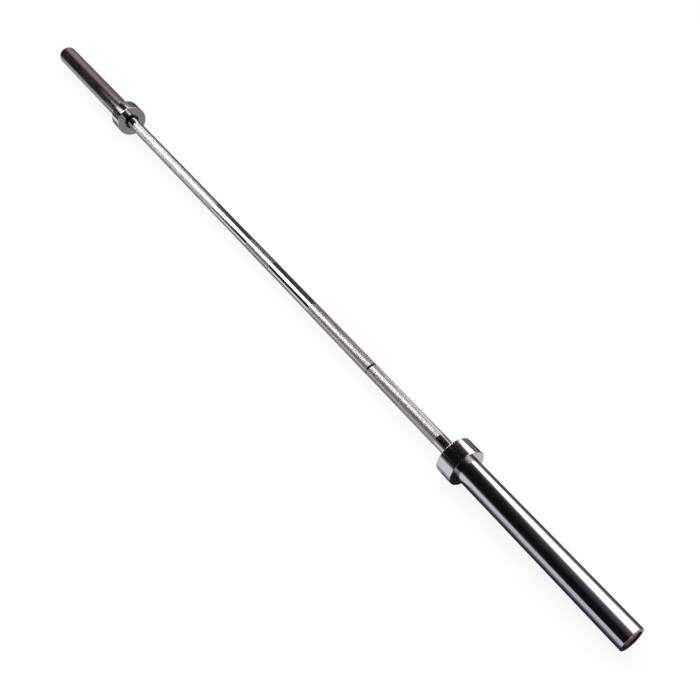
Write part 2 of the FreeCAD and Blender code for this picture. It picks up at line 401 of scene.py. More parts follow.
@lru_cache(maxsize=None)
def handling_haze() -> bpy.types.NodeTree:
    """The group that clouds a surface in soft patches, as hands, oil and cloths leave it.

    Returns:
        The group: two sizes of noise, one patch wide and a sixth of that, carried to the span Low to High.
    """
    feeds = {"Position": "Vector", "Patch": "Float", "Low": "Float", "High": "Float"}
    sheet, start, end = new_group("handling_haze", feeds, {"Value": "Float"})
    finer, broad_share, clear, thick = 6.0, 0.65, 0.36, 0.64
    scale = sheet.math("DIVIDE", 1.0, start.outputs["Patch"])
    broad = sheet.noise(start.outputs["Position"], scale, detail=2.0)
    fine = sheet.noise(start.outputs["Position"], sheet.math("MULTIPLY", scale, finer), detail=4.0)
    parts = [sheet.math("MULTIPLY", broad, broad_share), sheet.math("MULTIPLY", fine, 1 - broad_share)]
    cloud = sheet.math("ADD", *parts)
    level = sheet.span(cloud, clear, thick, start.outputs["Low"], start.outputs["High"])
    sheet.feed(end.inputs["Value"], level)
    return sheet.tree


@lru_cache(maxsize=None)
def fine_scratches() -> bpy.types.NodeTree:
    """The group that draws hair-thin streaks.

    Returns:
        The group: noise on a position stretched by Grain, of which only the top share, Cover, is kept as a
        mask.
    """
    feeds = {"Position": "Vector", "Grain": "Vector", "Cover": "Float"}
    sheet, start, end = new_group("fine_scratches", feeds, {"Mask": "Float"})
    peak, blur = 0.78, 0.06
    ways = {0: start.outputs["Position"], 1: start.outputs["Grain"]}
    stretched = sheet.add("ShaderNodeVectorMath", ways, operation="MULTIPLY").outputs[0]
    streaks = sheet.noise(stretched, 1.0, detail=2.0)
    edge = sheet.math("SUBTRACT", peak, start.outputs["Cover"])
    sheet.feed(end.inputs["Mask"], sheet.span(streaks, edge, sheet.math("ADD", edge, blur), 0.0, 1.0))
    return sheet.tree


@lru_cache(maxsize=None)
def turning_marks() -> bpy.types.NodeTree:
    """The group that draws the fine rings a lathe tool leaves.

    Returns:
        The group: noise on one line, Place over Pitch, so that every ring about the axis is even all round.
    """
    sheet, start, end = new_group("turning_marks", {"Place": "Float", "Pitch": "Float"}, {"Height": "Float"})
    place = sheet.math("DIVIDE", start.outputs["Place"], start.outputs["Pitch"])
    feeds = {"W": place, "Scale": 1.0, "Detail": 2.0}
    rings = sheet.add("ShaderNodeTexNoise", feeds, noise_dimensions="1D").outputs[0]
    sheet.feed(end.inputs["Height"], rings)
    return sheet.tree


@lru_cache(maxsize=None)
def fine_grain() -> bpy.types.NodeTree:
    """The group that gives the fine grain of a moulded or phosphated surface.

    Returns:
        The group: noise with one bump to each Size, as a height about 0.5.
    """
    sheet, start, end = new_group("fine_grain", {"Position": "Vector", "Size": "Float"}, {"Height": "Float"})
    scale = sheet.math("DIVIDE", 1.0, start.outputs["Size"])
    sheet.feed(end.inputs["Height"], sheet.noise(start.outputs["Position"], scale, detail=2.0))
    return sheet.tree


# Finishes


@dataclass(frozen=True)
class Coat:
    """A finish made into a material, with the name of its slot in the record."""

    slot: str
    material: bpy.types.Material


@dataclass(frozen=True)
class Finish:
    """What every finish of the bar has.

    Roughness runs from polish, where the surface is clean, up to clouded in the haziest patches.
    """

    slot: str
    colour: Colour
    polish: float
    clouded: float
    patch: float
    metallic: float = 1.0

    def coat(self) -> Coat:
        """Make the material, with the shader's plain values set and the rest left to dress.

        Returns:
            The new material and the slot that it is for.
        """
        material = bpy.data.materials.new(self.slot + "_coat")
        sheet = blank_sheet(material)
        shader = sheet.add("ShaderNodeBsdfPrincipled")
        shader.inputs["Base Color"].default_value = (*self.colour, 1.0)
        shader.inputs["Metallic"].default_value = self.metallic
        sheet.add("ShaderNodeOutputMaterial", {"Surface": shader.outputs["BSDF"]})
        position = sheet.add("ShaderNodeTexCoord").outputs["Object"]
        self.dress(sheet, shader, position)
        return Coat(self.slot, material)

    def haze(self, sheet: NodeSheet, position: SocketValue) -> bpy.types.NodeSocket:
        """The roughness in soft patches, from polish to clouded."""
        feeds = {"Position": position, "Patch": self.patch, "Low": self.polish, "High": self.clouded}
        return sheet.effect(handling_haze(), feeds).outputs["Value"]

    def dress(self, sheet: NodeSheet, shader: bpy.types.Node, position: SocketValue) -> None:
        """Feed what changes over the surface: here the roughness alone."""
        sheet.feed(shader.inputs["Roughness"], self.haze(sheet, position))


@dataclass(frozen=True)
class SleeveChrome(Finish):
    """Polished chrome plate, with light scratches along the bar where plates slide on and off, and painted
    shade in the bore.
    """

    scratch_colour: Colour = (0.42, 0.42, 0.44)
    scratch_grain: Point = (9.0, 2600.0, 2600.0)
    scratch_cover: float = 0.1
    scratch_roughness: float = 0.05
    bore: float = 0.0
    bore_edge: float = 1.0 * MILLIMETRE
    bore_shade_colour: Colour = (0.05, 0.045, 0.05)
    bore_roughness: float = 0.3

    def dress(self, sheet: NodeSheet, shader: bpy.types.Node, position: SocketValue) -> None:
        """Feed the roughness, the scratches' slightly duller colour and the bore, told by its radius, which
        is dull and painted dark as shade.

        Args:
            sheet: The sheet of the material.
            shader: Its shader.
            position: The place on the piece.
        """
        feeds = {"Position": position, "Grain": self.scratch_grain, "Cover": self.scratch_cover}
        mask = sheet.effect(fine_scratches(), feeds).outputs["Mask"]
        scuffed = sheet.math("MULTIPLY", mask, self.scratch_roughness)
        plate = sheet.blend(mask, self.colour, self.scratch_colour)
        place = sheet.effect(axis_distance(), {"Position": position}).outputs
        inside = sheet.span(place["Radius"], self.bore, self.bore + self.bore_edge, 1.0, 0.0)
        # Painted shade: the bore round the cap is dark.
        sheet.feed(shader.inputs["Base Color"], sheet.blend(inside, plate, self.bore_shade_colour))
        dull = sheet.math("MULTIPLY_ADD", inside, self.bore_roughness, scuffed)
        sheet.feed(shader.inputs["Roughness"], sheet.math("ADD", self.haze(sheet, position), dull))


@dataclass(frozen=True)
class CollarChrome(Finish):
    """Chrome plate, polished on the rim, finely turned on the two flat faces, and dark in the bore and where
    the tube leaves it: partly grease, partly painted shade.
    """

    middle: float = 0.0
    half_width: float = 0.0
    bore: float = 0.0
    mouth: float = 0.0
    face_depth: float = 0.9 * MILLIMETRE
    satin_least: float = 0.11
    satin_most: float = 0.18
    satin_colour: Colour = (0.44, 0.44, 0.45)
    ring_pitch: float = 0.35 * MILLIMETRE
    ring_depth: float = 0.003 * MILLIMETRE
    ring_spread: Pair = (0.3, 0.7)
    grease_and_shade_depth: float = 0.8 * MILLIMETRE
    grease_and_shade_colour: Colour = (0.045, 0.042, 0.045)
    grease_roughness: float = 0.3

    def dress(self, sheet: NodeSheet, shader: bpy.types.Node, position: SocketValue) -> None:
        """Feed the polish of the rim, the rings of the faces and the dark of the bore, partly grease and
        partly painted shade.

        The faces are told by the way along the bar, and the bore by its radius, which is wider in the
        outboard half, where the tube leaves the collar.

        Args:
            sheet: The sheet of the material.
            shader: Its shader.
            position: The place on the piece.
        """
        place = sheet.effect(axis_distance(), {"Position": position}).outputs
        off_middle = sheet.math("ABSOLUTE", sheet.math("SUBTRACT", place["Along"], self.middle))
        face = sheet.span(off_middle, self.half_width - self.face_depth, self.half_width, 0.0, 1.0)
        feeds = {"Place": place["Radius"], "Pitch": self.ring_pitch}
        rings = sheet.effect(turning_marks(), feeds).outputs["Height"]
        satin = sheet.span(rings, *self.ring_spread, self.satin_least, self.satin_most)
        polish = self.haze(sheet, position)
        rise = sheet.math("MULTIPLY", face, sheet.math("SUBTRACT", satin, polish))
        wider = self.middle + self.face_depth
        inside = sheet.span(place["Along"], self.middle, wider, self.bore, self.mouth)
        clean = sheet.math("ADD", inside, self.grease_and_shade_depth)
        # Partly grease, partly painted shade: dark in the bore and in the joint with the tube.
        grease_and_shade = sheet.span(place["Radius"], inside, clean, 1.0, 0.0)
        dull = sheet.math("MULTIPLY", grease_and_shade, self.grease_roughness)
        sheet.feed(shader.inputs["Roughness"], sheet.math("ADD", sheet.math("ADD", polish, rise), dull))
        plate = sheet.blend(face, self.colour, self.satin_colour)
        sheet.feed(shader.inputs["Base Color"], sheet.blend(grease_and_shade, plate, self.grease_and_shade_colour))
        sheet.feed(shader.inputs["Normal"], sheet.bump(sheet.math("MULTIPLY", rings, face), self.ring_depth))


@dataclass(frozen=True)
class ShaftChrome(Finish):
    """Chrome plate that is darker and duller on the slopes of the knurl and darker in the ring marks."""

    mark_place: float = 0.0
    mark_width: float = 0.0
    mark_colour: Colour = (0.22, 0.2, 0.21)
    groove_colour: Colour = (0.23, 0.215, 0.22)
    groove_start: float = 0.9
    groove_roughness: float = 0.4

    def dress(self, sheet: NodeSheet, shader: bpy.types.Node, position: SocketValue) -> None:
        """Feed the colour and roughness by how deep a place lies in the knurl, and the ring marks' colour.

        The depth in the knurl is the mesh's own attribute, and the ring marks are told by the way along the
        bar.

        Args:
            sheet: The sheet of the material.
            shader: Its shader.
            position: The place on the piece.
        """
        groove = sheet.add("ShaderNodeAttribute", attribute_name=GROOVE).outputs["Fac"]
        # Darker on the slopes of the knurl.
        darker_slopes = sheet.span(groove, self.groove_start, 1.0, 0.0, 1.0)
        plate = sheet.blend(darker_slopes, self.colour, self.groove_colour)
        place = sheet.effect(axis_distance(), {"Position": position}).outputs
        # Darker in the ring marks.
        off_mark = sheet.math("ABSOLUTE", sheet.math("SUBTRACT", place["Along"], self.mark_place))
        mark = sheet.math("LESS_THAN", off_mark, self.mark_width / 2)
        sheet.feed(shader.inputs["Base Color"], sheet.blend(mark, plate, self.mark_colour))
        dull = sheet.math("MULTIPLY", groove, self.groove_roughness)
        sheet.feed(shader.inputs["Roughness"], sheet.math("ADD", self.haze(sheet, position), dull))


@dataclass(frozen=True)
class TurnedMetal(Finish):
    """Bare turned or ground metal with a film of grease in patches."""

    film_colour: Colour = (0.2, 0.15, 0.08)
    film_most: float = 0.7
    mark_pitch: float = 0.3 * MILLIMETRE
    mark_depth: float = 0.008 * MILLIMETRE

    def dress(self, sheet: NodeSheet, shader: bpy.types.Node, position: SocketValue) -> None:
        """Feed the grease in the colour, the haze in the roughness and the tool's rings in the normal.

        Args:
            sheet: The sheet of the material.
            shader: Its shader.
            position: The place on the piece.
        """
        feeds = {"Position": position, "Patch": self.patch / 2, "Low": 0.0, "High": self.film_most}
        film = sheet.effect(handling_haze(), feeds).outputs["Value"]
        sheet.feed(shader.inputs["Base Color"], sheet.blend(film, self.colour, self.film_colour))
        sheet.feed(shader.inputs["Roughness"], self.haze(sheet, position))
        place = sheet.effect(axis_distance(), {"Position": position}).outputs
        feed_way = sheet.math("ADD", place["Along"], place["Radius"])
        lines = {"Place": feed_way, "Pitch": self.mark_pitch}
        marks = sheet.effect(turning_marks(), lines).outputs["Height"]
        sheet.feed(shader.inputs["Normal"], sheet.bump(marks, self.mark_depth))


@dataclass(frozen=True)
class Grained(Finish):
    """A surface with a fine even grain, such as moulded plastic or phosphated steel."""

    worn_colour: Colour = (0.1, 0.1, 0.1)
    grain_size: float = 0.25 * MILLIMETRE
    grain_depth: float = 0.02 * MILLIMETRE

    def dress(self, sheet: NodeSheet, shader: bpy.types.Node, position: SocketValue) -> None:
        """Feed the worn patches in the colour, the haze in the roughness and the grain in the normal.

        Args:
            sheet: The sheet of the material.
            shader: Its shader.
            position: The place on the piece.
        """
        feeds = {"Position": position, "Patch": self.patch / 3, "Low": 0.0, "High": 1.0}
        worn = sheet.effect(handling_haze(), feeds).outputs["Value"]
        sheet.feed(shader.inputs["Base Color"], sheet.blend(worn, self.colour, self.worn_colour))
        sheet.feed(shader.inputs["Roughness"], self.haze(sheet, position))
        grain = sheet.effect(fine_grain(), {"Position": position, "Size": self.grain_size}).outputs["Height"]
        sheet.feed(shader.inputs["Normal"], sheet.bump(grain, self.grain_depth))


@dataclass(frozen=True)
class Coats:
    """The bar's eight finishes, made into materials."""

    shaft_chrome: Coat
    sleeve_chrome: Coat
    collar_chrome: Coat
    bronze: Coat
    washer_steel: Coat
    spring_steel: Coat
    plastic: Coat
    red: Coat

    @classmethod
    def make(cls, mark_place: float, mark_width: float) -> "Coats":
        """Make the materials, with the places of bores and faces read from the solids.

        Args:
            mark_place: Where the middle of a ring mark is along the shaft.
            mark_width: How wide a ring mark is.

        Returns:
            The coats.
        """
        collar, tube = Extent.of("right_collar"), Extent.of("right_sleeve")
        chrome_colour = (0.5, 0.5, 0.53)
        shaft = ShaftChrome(
            "shaft_chrome", (0.52, 0.51, 0.53), polish=0.05, clouded=0.1, patch=0.06,
            mark_place=mark_place, mark_width=mark_width,
        )
        sleeve = SleeveChrome(
            "sleeve_chrome", chrome_colour, polish=0.05, clouded=0.1, patch=0.08,
            bore=Extent.of("right_end_cap").radius,
        )
        plate_stop = CollarChrome(
            "collar_chrome", chrome_colour, polish=0.05, clouded=0.1, patch=0.03,
            middle=(collar.near + collar.far) / 2, half_width=(collar.far - collar.near) / 2,
            bore=Extent.of("right_inner_bushing").radius, mouth=tube.radius,
        )
        bronze = TurnedMetal("bushing_bronze", (0.55, 0.36, 0.16), polish=0.28, clouded=0.5, patch=0.02)
        washer = TurnedMetal(
            "washer_steel", (0.42, 0.42, 0.43), polish=0.25, clouded=0.45, patch=0.015,
            film_colour=(0.16, 0.14, 0.11),
        )
        spring = Grained(
            "spring_steel", (0.07, 0.07, 0.078), polish=0.45, clouded=0.65, patch=0.01,
            worn_colour=(0.13, 0.125, 0.12),
        )
        plastic = Grained(
            "cap_plastic", (0.013, 0.013, 0.015), polish=0.42, clouded=0.6, patch=0.02, metallic=0.0,
            worn_colour=(0.022, 0.021, 0.021),
        )
        red = Grained(
            "disc_red", (0.3, 0.045, 0.07), polish=0.26, clouded=0.4, patch=0.03, metallic=0.0,
            worn_colour=(0.22, 0.035, 0.055), grain_size=0.15 * MILLIMETRE, grain_depth=0.004 * MILLIMETRE,
        )
        finishes = (shaft, sleeve, plate_stop, bronze, washer, spring, plastic, red)
        return cls(*(finish.coat() for finish in finishes))


# The bar


def settle(item: bpy.types.Object, coat: Coat, body: str, node: str) -> None:
    """Dress a new piece, tie it to its body and let it stand for its solid.

    Args:
        item: The new piece.
        coat: Its material and slot.
        body: The body it moves with.
        node: The solid it stands for.
    """
    item.data.materials.append(coat.material)
    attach(item, body)
    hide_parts(node)
    log.info("%s: %d points, %d faces", item.name, len(item.data.vertices), len(item.data.polygons))


def dress_solid(node: str, coat: Coat) -> None:
    """Give a solid that is shown as it is its material.

    Args:
        node: The solid's name.
        coat: Its material.
    """
    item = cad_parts[node]
    item.data.materials.clear()
    item.data.materials.append(coat.material)
    log.info("%s: shown as its solid", node)


@dataclass(frozen=True)
class KnurlBand:
    """One band of diamond knurl: a thin ring that fills a recess of the plain shaft.

    Grooves cross on a chess board of points: ring i and column j where i + j is even. Every other point is
    the middle of a diamond, whose four corners are the crossings round it. Its top is a smaller diamond at
    the crest radius, and four slopes go down from it to the grooves.
    """

    start: float
    end: float
    crest: float
    root: float
    core: float
    lead: float
    diamonds_round: int
    top_share: float
    top_wear: float

    @property
    def rings(self) -> int:
        """Steps of half a diamond along the band, an even number."""
        return 2 * round((self.end - self.start) / self.lead)

    def on_ring(self, ring: FloatArray, column: FloatArray, radius: float) -> FloatArray:
        """Places of lattice points.

        Args:
            ring: How many half diamonds along the band each point is.
            column: How many half diamonds round the band it is.
            radius: How far from the axis it is.

        Returns:
            One row of X, Y and Z for each point: X even along the band, Y and Z on a circle.
        """
        along = self.start + (self.end - self.start) * ring / self.rings
        angle = column * np.pi / self.diamonds_round
        return np.stack([along, radius * np.cos(angle), radius * np.sin(angle)], axis=-1).reshape(-1, 3)

    def surface(self) -> tuple[Surface, FloatArray]:
        """The closed ring, with its knurl outside and a plain bore inside.

        Returns:
            The surface, and for each of its faces 1 in a groove, the tops' wear on a top and 0 in the bore.
        """
        count, around = self.rings, self.diamonds_round
        ring, place = np.meshgrid(np.arange(count + 1), np.arange(around), indexing="ij")
        odd = ring % 2
        crossings = self.on_ring(ring, 2 * place + odd, self.root)
        number = np.arange(crossings.shape[0]).reshape(ring.shape)

        row, spot = np.meshgrid(np.arange(1, count), np.arange(around), indexing="ij")
        shift = row % 2
        corners = np.stack([
            number[row - 1, spot],
            number[row, (spot + 1 - shift) % around],
            number[row + 1, spot],
            number[row, (spot - shift) % around],
        ], axis=-1).reshape(-1, 4)
        steps = self.top_share * np.array([[-1.0, 0.0], [0.0, 1.0], [1.0, 0.0], [0.0, -1.0]])
        middle = np.stack([row, 2 * spot + 1 - shift], axis=-1).reshape(-1, 1, 2) + steps
        tops = self.on_ring(middle[..., 0], middle[..., 1], self.crest)
        top = len(crossings) + np.arange(len(tops)).reshape(-1, 4)
        slopes = strip_quads(corners, top)

        first, last = number[0], number[-1]
        half_start = np.stack([np.roll(first, -1), number[1], first], axis=-1)
        half_end = np.stack([number[-2], np.roll(last, -1), last], axis=-1)
        bore = np.vstack([
            self.on_ring(np.zeros(around), 2 * place[0], self.core),
            self.on_ring(np.full(around, count), 2 * place[0], self.core),
        ])
        inner = len(crossings) + len(tops) + np.arange(2 * around).reshape(2, around)
        before = np.stack([inner[0], last, inner[1]])
        after = np.stack([first, inner[1], inner[0]])
        walls = strip_quads(before, after)

        points = np.vstack([crossings, tops, bore])
        halves = np.vstack([half_start, half_end])
        counts = [len(top), len(slopes), len(walls), len(halves)]
        groove = np.repeat([self.top_wear, 1.0, 0.0, 1.0], counts)
        return Surface(points, np.vstack([top, slopes, walls]), halves), groove


@dataclass(frozen=True)
class Shaft:
    """The one steel bar through the whole object, with its knurl bands, ring marks and snap ring grooves."""

    half_length: float
    crest_radius: float
    inner_ring: Extent
    outer_ring: Extent
    radius: float = 14.0 * MILLIMETRE
    knurl_lead: float = 1.75 * MILLIMETRE
    diamonds_round: int = 52
    knurl_depth: float = 0.065 * MILLIMETRE
    centre_depth: float = 0.05 * MILLIMETRE
    top_share: float = 0.78
    top_wear: float = 0.6
    centre_wear: float = 0.3
    centre_knurl_end: float = 49.25 * MILLIMETRE
    knurl_inner: float = 208.25 * MILLIMETRE
    ring_mark: float = 419.0 * MILLIMETRE
    ring_mark_width: float = 5.0 * MILLIMETRE
    ring_mark_depth: float = 0.3 * MILLIMETRE
    knurl_outer: float = 629.5 * MILLIMETRE
    recess_depth: float = 0.5 * MILLIMETRE
    recess_gap: float = 0.02 * MILLIMETRE
    groove_depth: float = 0.7 * MILLIMETRE
    groove_play: float = 0.1 * MILLIMETRE
    tip_chamfer: float = 1.5 * MILLIMETRE
    edge_radius: float = 0.06 * MILLIMETRE
    edge_hold: float = 0.03 * MILLIMETRE
    edge_steps: int = 4
    columns: int = 144

    @classmethod
    def from_frame(cls) -> "Shaft":
        """Read the shaft's length and knurl radius, and the places of its snap rings, from the solids.

        Returns:
            The shaft.
        """
        whole = Extent.of("shaft")
        return cls(
            half_length=whole.far,
            crest_radius=whole.radius,
            inner_ring=Extent.of("right_inner_snap_ring"),
            outer_ring=Extent.of("right_outer_snap_ring"),
        )

    def mark_ends(self) -> tuple[float, float]:
        """Where the right ring mark starts and ends along the bar."""
        return self.ring_mark - self.ring_mark_width / 2, self.ring_mark + self.ring_mark_width / 2

    def plain_surface(self) -> Surface:
        """The turned shaft without its knurl, with a recess where each band sits.

        The right half's corners, from the middle to the tip, and the same corners mirrored make one outline
        from tip to tip.

        Returns:
            The turned surface.
        """
        recess = self.radius - self.recess_depth
        mark = self.radius - self.ring_mark_depth
        groove = self.radius - self.groove_depth
        mark_start, mark_end = self.mark_ends()
        inner_start, inner_end = self.inner_ring.near, self.inner_ring.far + self.groove_play
        outer_start, outer_end = self.outer_ring.near - self.groove_play, self.outer_ring.far
        half = np.array([
            (self.centre_knurl_end, recess),
            (self.centre_knurl_end, self.radius),
            (self.knurl_inner, self.radius),
            (self.knurl_inner, recess),
            (mark_start, recess),
            (mark_start, mark),
            (mark_end, mark),
            (mark_end, recess),
            (self.knurl_outer, recess),
            (self.knurl_outer, self.radius),
            (inner_start, self.radius),
            (inner_start, groove),
            (inner_end, groove),
            (inner_end, self.radius),
            (outer_start, self.radius),
            (outer_start, groove),
            (outer_end, groove),
            (outer_end, self.radius),
            (self.half_length - self.tip_chamfer, self.radius),
            (self.half_length, self.radius - self.tip_chamfer),
            (self.half_length, 0.0),
        ])
        corners = np.vstack([half[::-1] * np.array([-1.0, 1.0]), half])
        outline = rounded(corners, self.edge_radius, False, self.edge_steps, self.edge_hold)
        return lathe(outline, self.columns, closed=False)

    def bands(self) -> dict[str, KnurlBand]:
        """The five knurl bands. The centre one is the shallowest, because it lies against the neck.

        Returns:
            Each band by the name of its piece.
        """
        mark_start, mark_end = self.mark_ends()
        spans = {
            "left_outer_knurl": (-self.knurl_outer, -mark_end),
            "left_inner_knurl": (-mark_start, -self.knurl_inner),
            "centre_knurl": (-self.centre_knurl_end, self.centre_knurl_end),
            "right_inner_knurl": (self.knurl_inner, mark_start),
            "right_outer_knurl": (mark_end, self.knurl_outer),
        }
        core = self.radius - self.recess_depth + self.recess_gap
        bands = {}
        for name, (start, end) in spans.items():
            centre = name == "centre_knurl"
            root = self.crest_radius - (self.centre_depth if centre else self.knurl_depth)
            wear = self.centre_wear if centre else self.top_wear
            bands[name] = KnurlBand(start, end, self.crest_radius, root, core, self.knurl_lead,
                                    self.diamonds_round, self.top_share, wear)
        return bands

    def build(self, chrome: Coat) -> None:
        """Make the shaft and its knurl bands and dress them.

        Args:
            chrome: The shaft's material.
        """
        settle(self.plain_surface().to_object("plain_shaft"), chrome, "bar", "shaft")
        for name, band in self.bands().items():
            surface, groove = band.surface()
            item = surface.to_object(name, smooth=False)
            depth = item.data.attributes.new(GROOVE, "FLOAT", "FACE")
            depth.data.foreach_set("value", groove.astype(np.float32))
            settle(item, chrome, "bar", "shaft")


@dataclass(frozen=True)
class SleeveUnit:
    """One end of the bar that turns on the shaft: collar, sleeve tube, end cap and cap disc."""

    side: Side
    collar: Extent
    tube: Extent
    cap: Extent
    disc: Extent
    inner_bushing: Extent
    outer_bushing: Extent
    bore_gap: float = 0.02 * MILLIMETRE
    spigot_step: float = 1.0 * MILLIMETRE
    waist_step: float = 2.0 * MILLIMETRE
    collar_edge: float = 1.3 * MILLIMETRE
    collar_mouth: float = 0.8 * MILLIMETRE
    collar_relief: float = 0.12 * MILLIMETRE
    tube_edge: float = 1.5 * MILLIMETRE
    tube_mouth: float = 0.6 * MILLIMETRE
    hidden_edge: float = 0.12 * MILLIMETRE
    cap_edge: float = 0.4 * MILLIMETRE
    cap_wall: float = 2.5 * MILLIMETRE
    cap_face: float = 3.0 * MILLIMETRE
    cap_rim_gap: float = 0.02 * MILLIMETRE
    disc_edge: float = 0.3 * MILLIMETRE
    fine_hold: float = 0.05 * MILLIMETRE
    columns: int = 176

    @classmethod
    def from_frame(cls, side: Side) -> "SleeveUnit":
        """Read the places of one end's pieces from the solids.

        Args:
            side: The end of the bar.

        Returns:
            The sleeve unit of that end.
        """
        pieces = ("collar", "sleeve", "end_cap", "cap_disc", "inner_bushing", "outer_bushing")
        return cls(side, *(Extent.of(f"{side.word}_{piece}") for piece in pieces))

    @property
    def bore(self) -> float:
        """Radius of the sleeve's and the collar's bore, just over the bushings'."""
        return self.inner_bushing.radius + self.bore_gap

    def finish_piece(self, surface: Surface, piece: str, node: str, coat: Coat) -> None:
        """Turn a surface to its end, make it an object and settle it.

        Args:
            surface: The surface, drawn for the right end.
            piece: The new piece's name, without its side.
            node: The solid it stands for, without its side.
            coat: Its material and slot.
        """
        item = surface.turned_to(self.side).to_object(f"{self.side.word}_{piece}")
        settle(item, coat, self.side.body, f"{self.side.word}_{node}")

    def build_collar(self, chrome: Coat) -> None:
        """Make the plate stop: a thick ring with a lip over the tube's end.

        Args:
            chrome: The collar's material.
        """
        seat = self.tube.radius - self.spigot_step + self.bore_gap
        relief = self.tube.radius + self.collar_relief
        corners = [
            (self.collar.near, self.collar.radius),
            (self.collar.far, self.collar.radius),
            (self.collar.far, relief),
            (self.collar.far - relief + seat, seat),
            (self.tube.near, seat),
            (self.tube.near, self.bore),
            (self.collar.near, self.bore),
        ]
        small = self.hidden_edge
        radii = [self.collar_edge, self.collar_edge, small, small, small, small, self.collar_mouth]
        ring = lathe(rounded(corners, radii, closed=True), self.columns, closed=True)
        self.finish_piece(ring, "plate_stop", "collar", chrome)

    def build_tube(self, chrome: Coat) -> None:
        """Make the tube that carries the plates, with a spigot inside the collar and two bearing seats.

        Args:
            chrome: The tube's material.
        """
        spigot = self.tube.radius - self.spigot_step
        waist = self.bore - self.waist_step
        corners = [
            (self.tube.near, spigot),
            (self.collar.far, spigot),
            (self.collar.far, self.tube.radius),
            (self.tube.far, self.tube.radius),
            (self.tube.far, self.bore),
            (self.outer_bushing.near, self.bore),
            (self.outer_bushing.near, waist),
            (self.inner_bushing.far, waist),
            (self.inner_bushing.far, self.bore),
            (self.tube.near, self.bore),
        ]
        small = self.hidden_edge
        radii = [small, small, small, self.tube_edge, self.tube_mouth, small, small, small, small, small]
        tube = lathe(rounded(corners, radii, closed=True), self.columns, closed=True)
        self.finish_piece(tube, "plate_tube", "sleeve", chrome)

    def build_cap(self, plastic: Coat) -> None:
        """Make the plug in the tube's mouth: a cup with a shallow seat for its disc.

        Args:
            plastic: The plug's material.
        """
        seat = self.disc.radius + self.cap_rim_gap
        back = self.cap.far - self.cap_face
        inside = self.cap.radius - self.cap_wall
        corners = [
            (back, 0.0),
            (back, inside),
            (self.cap.near, inside),
            (self.cap.near, self.cap.radius),
            (self.cap.far, self.cap.radius),
            (self.cap.far, seat),
            (self.disc.near, seat),
            (self.disc.near, 0.0),
        ]
        edge = self.cap_edge
        radii = [edge, edge, edge, edge, edge / 2, edge / 4]
        outline = rounded(corners, radii, closed=False, hold=self.fine_hold)
        self.finish_piece(lathe(outline, self.columns, closed=False), "mouth_plug", "end_cap", plastic)

    def build_disc(self, red: Coat) -> None:
        """Make the plain disc in the plug's seat.

        Args:
            red: The disc's material.
        """
        corners = [
            (self.disc.near, 0.0),
            (self.disc.near, self.disc.radius),
            (self.disc.far, self.disc.radius),
            (self.disc.far, 0.0),
        ]
        outline = rounded(corners, [self.hidden_edge, self.disc_edge], closed=False, hold=self.fine_hold)
        self.finish_piece(lathe(outline, self.columns, closed=False), "plain_disc", "cap_disc", red)

    def build(self, coats: Coats) -> None:
        """Make the pieces of this end that show, and dress the bushings inside it.

        Args:
            coats: The bar's finishes.
        """
        self.build_collar(coats.collar_chrome)
        self.build_tube(coats.sleeve_chrome)
        self.build_cap(coats.plastic)
        self.build_disc(coats.red)
        for bushing in ("inner_bushing", "outer_bushing"):
            dress_solid(f"{self.side.word}_{bushing}", coats.bronze)


@dataclass(frozen=True)
class Retainers:
    """The washers and snap rings that hold the sleeves on the shaft, inside the sleeves."""

    places: tuple[str, str] = ("inner", "outer")

    def build(self, coats: Coats) -> None:
        """Dress the washers and snap rings of both ends.

        Args:
            coats: The bar's finishes.
        """
        for side in Side:
            for place in self.places:
                dress_solid(f"{side.word}_{place}_washer", coats.washer_steel)
                dress_solid(f"{side.word}_{place}_snap_ring", coats.spring_steel)


# The studio


@dataclass(frozen=True)
class Fades:
    """The share of a card over which it turns from clear to full at each of its edges.

    It turns with a power of the way in, as light does at the edge of a diffuser. The left fade may widen on
    its way up the card.
    """

    left: float = 0.0
    right: float = 0.0
    lower: float = 0.0
    upper: float = 0.0
    widening: float = 0.0
    power: float = 1.7

    def cover(self, sheet: NodeSheet) -> bpy.types.NodeSocket:
        """How full a card is, from its own flat coordinates.

        Args:
            sheet: The sheet of the card's material.

        Returns:
            The product of one rise for each edge that fades, to the power.
        """
        flat = sheet.add("ShaderNodeTexCoord").outputs["UV"]
        place = sheet.add("ShaderNodeSeparateXYZ", {0: flat}).outputs
        wide = sheet.math("MULTIPLY_ADD", place["Y"], self.widening, self.left)
        edges = [
            (self.left + self.widening, place["X"], 0.0, wide),
            (self.right, place["X"], 1.0, 1.0 - self.right),
            (self.lower, place["Y"], 0.0, self.lower),
            (self.upper, place["Y"], 1.0, 1.0 - self.upper),
        ]
        rises = [sheet.span(way, edge, full, 0.0, 1.0) for fade, way, edge, full in edges if fade > 0]
        level = rises[0]
        for rise in rises[1:]:
            level = sheet.math("MULTIPLY", level, rise)
        return sheet.math("POWER", level, self.power)


@dataclass(frozen=True)
class Edge:
    """An edge of a leaning card: where it starts and ends along the bar, and its place across and up."""

    start: float
    end: float
    across: float
    up: float

    def corners(self) -> tuple[Point, Point]:
        """The edge's left and right corner."""
        return (self.start, self.across, self.up), (self.end, self.across, self.up)


